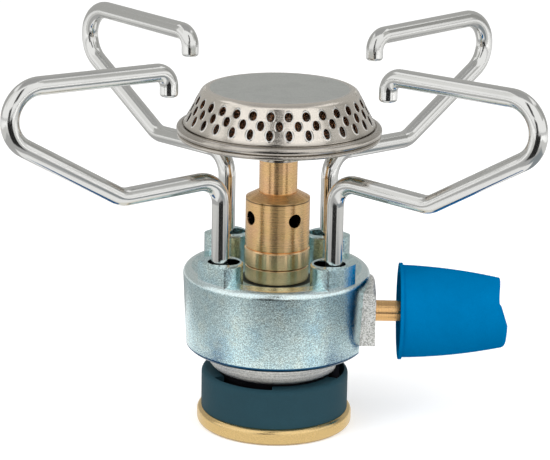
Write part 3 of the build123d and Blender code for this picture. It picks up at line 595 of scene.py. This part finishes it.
def moulded_plastic(name, tone, textures, roughness, gloss):
    """Moulded plastic: fine spark grain, with handling marks in its gloss."""
    material, tree, shader, place = start_material(name, Specular_IOR_Level=gloss)
    grain = effect(tree, "Casting grain", Place=place, Size=textures.moulding_grain)
    smudge = patches(tree, place, textures.smudge, seed=8.3, cover=0.5)
    base = vary(tree, tone, grain["Speckle"], low=0.93, high=1.06)
    base = vary(tree, base, smudge, low=0.97, high=1.03)
    rough = between(tree, smudge, roughness - 0.04, roughness + 0.05)
    paint(tree, shader, base, rough, grain["Height"], depth=0.00003)
    return material


def satin_metal(name, tone, textures, roughness):
    """Satin metal: fine even grain in its colour and relief."""
    material, tree, shader, place = start_material(name, Metallic=1.0)
    grain = effect(tree, "Casting grain", Place=place, Size=textures.moulding_grain * 1.3)
    smudge = patches(tree, place, textures.smudge, seed=9.1, cover=0.45)
    base = vary(tree, tone, grain["Speckle"], low=0.9, high=1.06)
    rough = between(tree, smudge, roughness, roughness + 0.08)
    paint(tree, shader, base, rough, grain["Height"], depth=0.00001)
    return material


def dress(material, *names):
    """Give CAD nodes a better material, in the slots that they have."""
    for name in names:
        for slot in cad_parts[name].material_slots:
            slot.material = material


def tubes(centres, out, side, radius, sides, closed):
    """Round wires: about each point of each centre line, a ring of points at centre + radius x (cos x out +
    sin x side). Neighbouring rings are joined by quads, and a closed line's last ring joins its first."""
    turns = np.linspace(0.0, 2 * pi, sides, endpoint=False)
    ring = np.cos(turns)[:, None] * out[..., None, :] + np.sin(turns)[:, None] * side[..., None, :]
    points = centres[..., None, :] + radius * ring
    lines, count = centres.shape[:2]
    index = np.arange(lines * count * sides).reshape(lines, count, sides)
    here = index if closed else index[:, :-1]
    ahead = np.roll(index, -1, axis=1) if closed else index[:, 1:]
    quads = np.stack([here, np.roll(here, -1, axis=2), np.roll(ahead, -1, axis=2), ahead], axis=-1)
    return points.reshape(-1, 3), quads.reshape(-1, 4)


def on_cone(headings, share, lift, low_circle, high_circle):
    """Points on a cone: share runs from the low circle (radius, height) to the high one, and lift stands off
    it along the outward normal. Also gives the outward normals and the directions round and up the cone."""
    slope = np.subtract(high_circle, low_circle)
    slope = slope / np.hypot(*slope)
    cos, sin = np.cos(headings), np.sin(headings)
    zero = np.zeros_like(headings)
    out = np.stack([slope[1] * cos, slope[1] * sin, zero - slope[0]], axis=-1)
    round_way = np.stack([-sin, cos, zero], axis=-1)
    up = np.stack([slope[0] * cos, slope[0] * sin, zero + slope[1]], axis=-1)
    radius = low_circle[0] + share * (high_circle[0] - low_circle[0])
    height = low_circle[1] + share * (high_circle[1] - low_circle[1])
    points = np.stack([radius * cos, radius * sin, height], axis=-1) + lift[..., None] * out
    return points, out, round_way, up


def woven_gauze(burner):
    """Plain weave on a cone. Upright wire j and round wire k cross at a lattice point, where one stands off
    the cone by +a cos(pi (j + k)) and the other by the same below it. Between crossings they follow the
    cosine."""
    ribs, hoops, wire = burner.gauze_ribs, burner.gauze_hoops, burner.gauze_wire
    low_circle = np.array([burner.gauze_foot_radius, burner.gauze_foot])
    high_circle = np.array([burner.gauze_top_radius, top("burner_gauze") - wire])
    wire_sides = 4
    steps = np.arange(2 * (hoops - 1) + 1) / 2
    rib, step = np.meshgrid(np.arange(ribs), steps, indexing="ij")
    headings, share = rib * 2 * pi / ribs, step / (hoops - 1)
    lift = wire * np.cos(pi * (rib + step))
    centres, out, round_way, _ = on_cone(headings, share, lift, low_circle, high_circle)
    rib_points, rib_quads = tubes(centres, out, round_way, wire, wire_sides, closed=False)
    hoop, step = np.meshgrid(np.arange(hoops), np.arange(2 * ribs) / 2, indexing="ij")
    headings, share = step * 2 * pi / ribs, hoop / (hoops - 1)
    lift = -wire * np.cos(pi * (hoop + step))
    centres, out, _, up = on_cone(headings, share, lift, low_circle, high_circle)
    hoop_points, hoop_quads = tubes(centres, up, out, wire, wire_sides, closed=True)
    return np.vstack([rib_points, hoop_points]), np.vstack([rib_quads, hoop_quads + len(rib_points)])


def grid_object(name, points, quads, material):
    """New smooth mesh object at the origin from whole arrays of points and quads."""
    mesh = bpy.data.meshes.new(name)
    mesh.vertices.add(len(points))
    mesh.vertices.foreach_set("co", points.ravel())
    mesh.loops.add(quads.size)
    mesh.loops.foreach_set("vertex_index", quads.ravel())
    mesh.polygons.add(len(quads))
    mesh.polygons.foreach_set("loop_start", np.arange(0, quads.size, 4))
    mesh.polygons.foreach_set("use_smooth", np.ones(len(quads), bool))
    mesh.update(calc_edges=True)
    mesh.validate()
    mesh.materials.append(material)
    piece = bpy.data.objects.new(name, mesh)
    bpy.context.scene.collection.objects.link(piece)
    return piece


class STOVE_OT_castings(Operator):
    """Finish the plated body and the valve housing inside it"""

    bl_idname = "stove.castings"
    bl_label = "Castings"

    def execute(self, context):
        colours, textures = context.scene.stove_colours, context.scene.stove_textures
        dress(zinc_casting(colours, textures), "support_body")
        dress(bare_alloy(colours, textures), "valve_housing")
        return {"FINISHED"}


class STOVE_OT_brass(Operator):
    """Finish the brass stack below the burner, the inner brass pieces and the spindle"""

    bl_idname = "stove.brass"
    bl_label = "Brass pieces"

    def execute(self, context):
        colours, textures = context.scene.stove_colours, context.scene.stove_textures
        tones = colours.brass, colours.brass_pink
        brass = turned_brass("brass", *tones, textures, "Z", polish=0.3, roughness=0.24, spread=0.95)
        dress(brass, "gas_jet", "mixer_sleeve", "burner_tube", "pusher_pin")
        tones = colours.brass_ring, colours.brass_ring_green
        rings = turned_brass("ring_brass", *tones, textures, "Z", polish=0.9, roughness=0.22, spread=1.0)
        dress(rings, "clamp_nut", "jet_holder")
        tones = colours.spindle, colours.brass
        drawn = turned_brass("spindle_brass", *tones, textures, "X", polish=0.0, roughness=0.16, spread=0.0)
        dress(drawn, "spindle", "gland_bush")
        return {"FINISHED"}


class STOVE_OT_burner(Operator):
    """Finish the burner head and weave the gauze behind its flame holes"""

    bl_idname = "stove.burner"
    bl_label = "Burner head"

    def execute(self, context):
        colours, textures = context.scene.stove_colours, context.scene.stove_textures
        burner = context.scene.stove_burner
        dress(burner_steel(colours, textures, burner), "burner_cap", "burner_pan")
        wire = gauze_wire(colours, textures)
        gauze = grid_object("gauze_weave", *woven_gauze(burner), wire)
        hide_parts("burner_gauze")
        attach(gauze, "stove_body")
        return {"FINISHED"}


class STOVE_OT_supports(Operator):
    """Finish the four bent rods and their clips"""

    bl_idname = "stove.supports"
    bl_label = "Pan supports"

    def execute(self, context):
        colours, textures = context.scene.stove_colours, context.scene.stove_textures
        corners = ("front_left", "front_right", "back_left", "back_right")
        chrome = polished_plate("chrome_rod", colours.chrome, textures, clean=0.13, handled=0.17)
        dress(chrome, *("pan_support_" + corner for corner in corners))
        clip = satin_metal("clip_steel", colours.clip, textures, roughness=0.35)
        dress(clip, "collar_circlip", *("leg_clip_" + corner for corner in corners))
        return {"FINISHED"}


class STOVE_OT_knob(Operator):
    """Finish the blue knob"""

    bl_idname = "stove.knob"
    bl_label = "Knob"

    def execute(self, context):
        colours, textures = context.scene.stove_colours, context.scene.stove_textures
        dress(moulded_plastic("blue_plastic", colours.knob, textures, roughness=0.5, gloss=0.0), "knob")
        return {"FINISHED"}


class STOVE_OT_lock(Operator):
    """Finish the lock collar, its gold ring, the stop peg and the pieces of the cartridge inlet"""

    bl_idname = "stove.lock"
    bl_label = "Cartridge lock"

    def execute(self, context):
        colours, textures = context.scene.stove_colours, context.scene.stove_textures
        teal = moulded_plastic("teal_plastic", colours.collar, textures, roughness=0.58, gloss=0.1)
        dress(teal, "lock_collar")
        dress(satin_metal("gold_anodised", colours.gold, textures, roughness=0.22), "bayonet_ring")
        rubber = moulded_plastic("black_rubber", colours.rubber, textures, roughness=0.6, gloss=0.3)
        dress(rubber, "cartridge_seal", "spindle_oring")
        dress(moulded_plastic("black_peg", colours.peg, textures, roughness=0.5, gloss=0.0), "stop_pin")
        dress(satin_metal("sintered_bronze", colours.bronze, textures, roughness=0.6), "inlet_filter")
        return {"FINISHED"}


def upright(left, right, low, high):
    """Corners of an upright sheet between two places on the floor plan."""
    return [(*left, low), (*right, low), (*right, high), (*left, high)]


def level(near, far, height):
    """Corners of a level sheet between two opposite corners on the floor plan."""
    return [(*near, height), (far[0], near[1], height), (*far, height), (near[0], far[1], height)]


def square(half, height):
    """Corners of a level square about the stove's axis."""
    return level((-half, -half), (half, half), height)


def flat_sheet(name, corners, material):
    """Four-cornered sheet of the stage."""
    sheet = grid_object(name, np.array(corners, float), np.array([[0, 1, 2, 3]]), material)
    return sheet


def card(name, tone, corners):
    """Studio card that only reflections see, as a studio's flags are kept out of the picture; some cards
    stand in for painted shadow on the floor.
    """
    material, _, shader, _ = start_material(name, Base_Color=(0.0, 0.0, 0.0, 1.0), Specular_IOR_Level=0.0)
    shader.inputs["Emission Color"].default_value = (*tone, 1.0)
    shader.inputs["Emission Strength"].default_value = 1.0
    sheet = flat_sheet(name, corners, material)
    sheet.visible_camera = False
    sheet.visible_diffuse = False
    sheet.visible_shadow = False


def lay_floor(stage, ground):
    """Pale paper floor that keeps the stove's shadow, and gives the camera a little light of its own."""
    paper, tree, shader, place = start_material("paper", Roughness=0.9, Specular_IOR_Level=0.0)
    fibre = effect(tree, "Casting grain", Place=place, Size=0.002)["Speckle"]
    pulp = tint(tree, fibre, (0.81, 0.81, 0.81), (0.83, 0.83, 0.83))
    tree.links.new(pulp, shader.inputs["Base Color"])
    shader.inputs["Emission Color"].default_value = (1.0, 1.0, 1.0, 1.0)
    seen = maths(tree, "MULTIPLY", put(tree, "LightPath").outputs["Is Camera Ray"], stage.floor_lift)
    tree.links.new(seen, shader.inputs["Emission Strength"])
    flat_sheet("floor", square(stage.floor_size / 2, ground), paper)


def floor_cards(ground):
    """Name, tone and corners of the cards that lie on the floor, in thin layers, the later ones on top."""
    layer = 0.0001
    stack_top = ground + 10 * layer
    body_reach = 0.185
    wedge = [(-0.40, -0.8), (0.40, -0.8), (0.07, -0.14), (-0.07, -0.14)]
    beside = [(0.034, -0.022), (0.064, -0.042), (0.074, -0.032), (0.064, 0.034)]
    navy = (0.008, 0.09, 0.24)
    return [
        ("grey_floor", (0.68, 0.68, 0.67), square(0.32, ground + 4 * layer)),
        # Painted shadow: body_floor and shadow_floor are darker sheets that reflections see in place of the
        # floor shaded by the stove.
        ("body_floor", (0.45, 0.45, 0.45), square(body_reach, ground + 6 * layer)),
        ("right_floor", (0.27, 0.30, 0.32), level((0.05, -0.13), (body_reach, 0.06), ground + 7 * layer)),
        ("white_floor", (0.95, 0.95, 0.95), square(0.088, ground + 8 * layer)),
        ("shadow_floor", (0.80, 0.78, 0.72), square(0.042, ground + 9 * layer)),
        ("dark_floor", (0.02, 0.02, 0.02), [(*corner, stack_top) for corner in wedge]),
        ("blue_left", navy, [(-x, y, stack_top) for x, y in beside]),
        ("blue_right", navy, [(x, y, stack_top) for x, y in beside]),
    ]


def standing_cards():
    """Name, tone and corners of the cards that stand or hang round the stove."""
    far, room, roof = 0.7, 1.2, 1.2
    bend, wing, wing_low, wing_high = (1.0, 0.1), (0.87, -0.39), 0.45, 1.5
    left_bend, left_wing = (-bend[0], bend[1]), (-wing[0], wing[1])
    return [
        ("front_card", (0.03, 0.03, 0.03), upright((-0.055, -0.25), (0.022, -0.25), 0.175, 0.42)),
        ("low_card", (0.05, 0.05, 0.05), upright((-0.31, -0.85), (0.025, -0.85), 0.0, 0.32)),
        ("back_card", (0.45, 0.45, 0.44), upright((-room, far), (room, far), 0.0, roof)),
        ("left_card", (0.45, 0.45, 0.44), upright((-room, far), left_bend, 0.0, roof)),
        ("right_card", (0.35, 0.35, 0.34), upright((room, far), bend, 0.0, roof)),
        ("left_wall", (0.85, 0.85, 0.84), upright(left_bend, left_wing, wing_low, wing_high)),
        ("right_wall", (0.52, 0.52, 0.51), upright(bend, wing, wing_low, wing_high)),
        ("top_card", (0.40, 0.40, 0.40), level((-0.6, -0.4), (0.6, far), roof)),
    ]


def area_lamp(name, place, aim, size, watts):
    """Square area lamp that points from its place at another."""
    lamp = bpy.data.lights.new(name, "AREA")
    lamp.shape = "SQUARE"
    lamp.size = size
    lamp.energy = watts
    holder = bpy.data.objects.new(name, lamp)
    holder.location = place
    holder.visible_glossy = False
    holder.rotation_euler = (place - aim).to_track_quat("Z", "Y").to_euler()
    bpy.context.scene.collection.objects.link(holder)


def white_world(stage):
    """Soft light from all round, which the camera and reflections see as plain white."""
    world = bpy.data.worlds.new("studio")
    world.use_nodes = True
    tree = world.node_tree
    tree.nodes.clear()
    light = put(tree, "LightPath").outputs
    seen = maths(tree, "MAXIMUM", light["Is Camera Ray"], light["Is Glossy Ray"])
    seen = maths(tree, "MAXIMUM", seen, light["Is Transmission Ray"])
    soft = put(tree, "Background", {"Color": (1.0, 1.0, 1.0, 1.0), "Strength": stage.sky_level})
    white = put(tree, "Background", {"Color": (1.0, 1.0, 1.0, 1.0), "Strength": 1.0})
    mixed = put(tree, "MixShader", {0: seen, 1: soft.outputs[0], 2: white.outputs[0]})
    put(tree, "OutputWorld", {"Surface": mixed.outputs[0]})
    bpy.context.scene.world = world


def set_camera(stage):
    """Camera at the photo's view: it looks down by its pitch and leans by its roll."""
    lens = bpy.data.cameras.new("camera")
    lens.lens = stage.camera_lens
    lens.sensor_width = stage.camera_sensor
    lens.sensor_fit = "HORIZONTAL"
    lens.clip_start = 0.01
    camera = bpy.data.objects.new("camera", lens)
    looking = Euler((pi / 2 - stage.camera_pitch, 0.0, 0.0)).to_matrix()
    leaning = Matrix.Rotation(stage.camera_roll, 3, "Z")
    camera.matrix_world = Matrix.Translation(stage.camera_place) @ (looking @ leaning).to_4x4()
    bpy.context.scene.collection.objects.link(camera)
    bpy.context.scene.camera = camera


class STOVE_OT_stage(Operator):
    """Set the floor, the cards, the lamps and the camera"""

    bl_idname = "stove.stage"
    bl_label = "Studio"

    def execute(self, context):
        stage = context.scene.stove_stage
        ground = cad_box[0][2]
        lay_floor(stage, ground)
        for name, tone, corners in floor_cards(ground) + standing_cards():
            card(name, tone, corners)
        area_lamp("key", stage.key_place, stage.lamp_aim, stage.key_size, stage.key_power)
        area_lamp("fill", stage.fill_place, stage.lamp_aim, stage.fill_size, stage.fill_power)
        white_world(stage)
        set_camera(stage)
        context.scene.view_settings.view_transform = "Standard"
        return {"FINISHED"}


OPERATORS = (
    STOVE_OT_stage,
    STOVE_OT_castings,
    STOVE_OT_brass,
    STOVE_OT_burner,
    STOVE_OT_supports,
    STOVE_OT_knob,
    STOVE_OT_lock,
)

SETTINGS = {
    "stove_colours": StoveColours,
    "stove_textures": StoveTextures,
    "stove_burner": StoveBurner,
    "stove_stage": StoveStage,
}


class STOVE_PT_sidebar(Panel):
    """Lists the stove's operators and settings"""

    bl_idname = "STOVE_PT_sidebar"
    bl_label = "Portable gas stove"
    bl_space_type = "VIEW_3D"
    bl_region_type = "UI"
    bl_category = "Stove"

    def draw(self, context):
        for operator in OPERATORS:
            self.layout.operator(operator.bl_idname)
        for name, group in SETTINGS.items():
            box = self.layout.box()
            for setting in group.__annotations__:
                box.prop(getattr(context.scene, name), setting)


def register():
    for name, group in SETTINGS.items():
        bpy.utils.register_class(group)
        setattr(bpy.types.Scene, name, PointerProperty(type=group))
    for operator in OPERATORS:
        bpy.utils.register_class(operator)
    bpy.utils.register_class(STOVE_PT_sidebar)


def unregister():
    bpy.utils.unregister_class(STOVE_PT_sidebar)
    for operator in reversed(OPERATORS):
        bpy.utils.unregister_class(operator)
    for name, group in SETTINGS.items():
        delattr(bpy.types.Scene, name)
        bpy.utils.unregister_class(group)


def main():
    register()
    bpy.ops.stove.stage()
    bpy.ops.stove.castings()
    bpy.ops.stove.brass()
    bpy.ops.stove.burner()
    bpy.ops.stove.supports()
    bpy.ops.stove.knob()
    bpy.ops.stove.lock()


if __name__ == "__main__":
    main()
